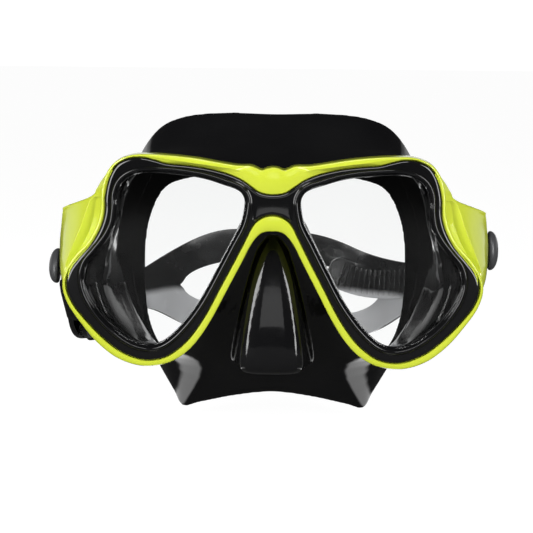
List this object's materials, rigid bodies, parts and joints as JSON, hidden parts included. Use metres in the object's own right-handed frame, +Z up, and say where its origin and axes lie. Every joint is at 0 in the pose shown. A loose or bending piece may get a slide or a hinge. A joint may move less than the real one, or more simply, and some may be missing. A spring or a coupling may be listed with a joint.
{
  "type": "snorkel mask",
  "caption": "Snorkel mask with lenses in a swept plastic frame, a sealing silicone skirt with a nose pocket, and swivelling quick-release buckles on a split silicone strap.",
  "frame": {"origin": "on the mask's middle plane at the depth of the lenses, between them, level with the middle of the face opening", "axes": "+X to the wearer's left, +Y back towards the wearer's face, +Z up"},
  "size_m": [0.1822, 0.1542, 0.1225],
  "materials": {
    "frame": "glossy lime",
    "trim": "glossy black",
    "button": "satin dark grey",
    "silicone": "glossy black silicone",
    "lens": "clear tempered",
    "steel": "polished stainless"
  },
  "bodies": {
    "mask": {"chassis_frame": "frame", "lens_bezel": "trim", "lens_left": "lens", "lens_right": "lens", "skirt": "silicone", "pivot_pin_left": "steel", "pivot_pin_right": "steel"},
    "buckle_left": {"buckle_body_left": "trim", "roller_axle_left": "steel", "pawl_pin_left": "steel", "button_spring_left": "steel", "strap": "silicone", "strap_keeper_left": "silicone", "strap_keeper_right": "silicone"},
    "buckle_right": {"buckle_body_right": "trim", "roller_axle_right": "steel", "pawl_pin_right": "steel", "button_spring_right": "steel"},
    "button_left": {"release_button_left": "button"},
    "pawl_left": {"pawl_lever_left": "trim"},
    "roller_left": {"strap_roller_left": "trim"},
    "button_right": {"release_button_right": "button"},
    "pawl_right": {"pawl_lever_right": "trim"},
    "roller_right": {"strap_roller_right": "trim"}
  },
  "joints": [
    {"name": "buckle_swivel_left", "type": "hinge", "parent": "mask", "child": "buckle_left", "pos_m": [-0.0766, 0.0215, 0.005], "axis": [1, 0, 0], "range_deg": [-6, 24]},
    {"name": "buckle_swivel_right", "type": "hinge", "parent": "mask", "child": "buckle_right", "pos_m": [0.0766, 0.0215, 0.005], "axis": [1, 0, 0], "range_deg": [-6, 24]},
    {"name": "button_push_left", "type": "slide", "parent": "buckle_left", "child": "button_left", "axis": [1, 0, 0], "range_m": [0, 0.0009], "stiffness_N_per_m": 600, "springref_m": -0.0004, "deforming": ["button_spring_left"]},
    {"name": "pawl_swing_left", "type": "hinge", "parent": "buckle_left", "child": "pawl_left", "pos_m": [-0.0794, 0.03713, -0.01119], "axis": [0, 0.7193, 0.6947], "range_deg": [0, 6.4]},
    {"name": "roller_spin_left", "type": "hinge", "parent": "buckle_left", "child": "roller_left", "pos_m": [-0.0808, 0.04442, -0.01874], "axis": [0, 0.7193, 0.6947], "continuous": true},
    {"name": "button_push_right", "type": "slide", "parent": "buckle_right", "child": "button_right", "axis": [-1, 0, 0], "range_m": [0, 0.0009], "stiffness_N_per_m": 600, "springref_m": -0.0004, "deforming": ["button_spring_right"]},
    {"name": "pawl_swing_right", "type": "hinge", "parent": "buckle_right", "child": "pawl_right", "pos_m": [0.0794, 0.04366, 0.00109], "axis": [0, -0.1736, -0.9848], "range_deg": [0, 6.4]},
    {"name": "roller_spin_right", "type": "hinge", "parent": "buckle_right", "child": "roller_right", "pos_m": [0.0808, 0.054, -0.00073], "axis": [0, 0.1736, 0.9848], "continuous": true}
  ],
  "couplings": [
    {"joint": "buckle_swivel_right", "follows": "buckle_swivel_left", "ratio": 1},
    {"joint": "pawl_swing_left", "follows": "button_push_left", "rad_per_m": 123},
    {"joint": "pawl_swing_right", "follows": "button_push_right", "rad_per_m": 123}
  ]
}
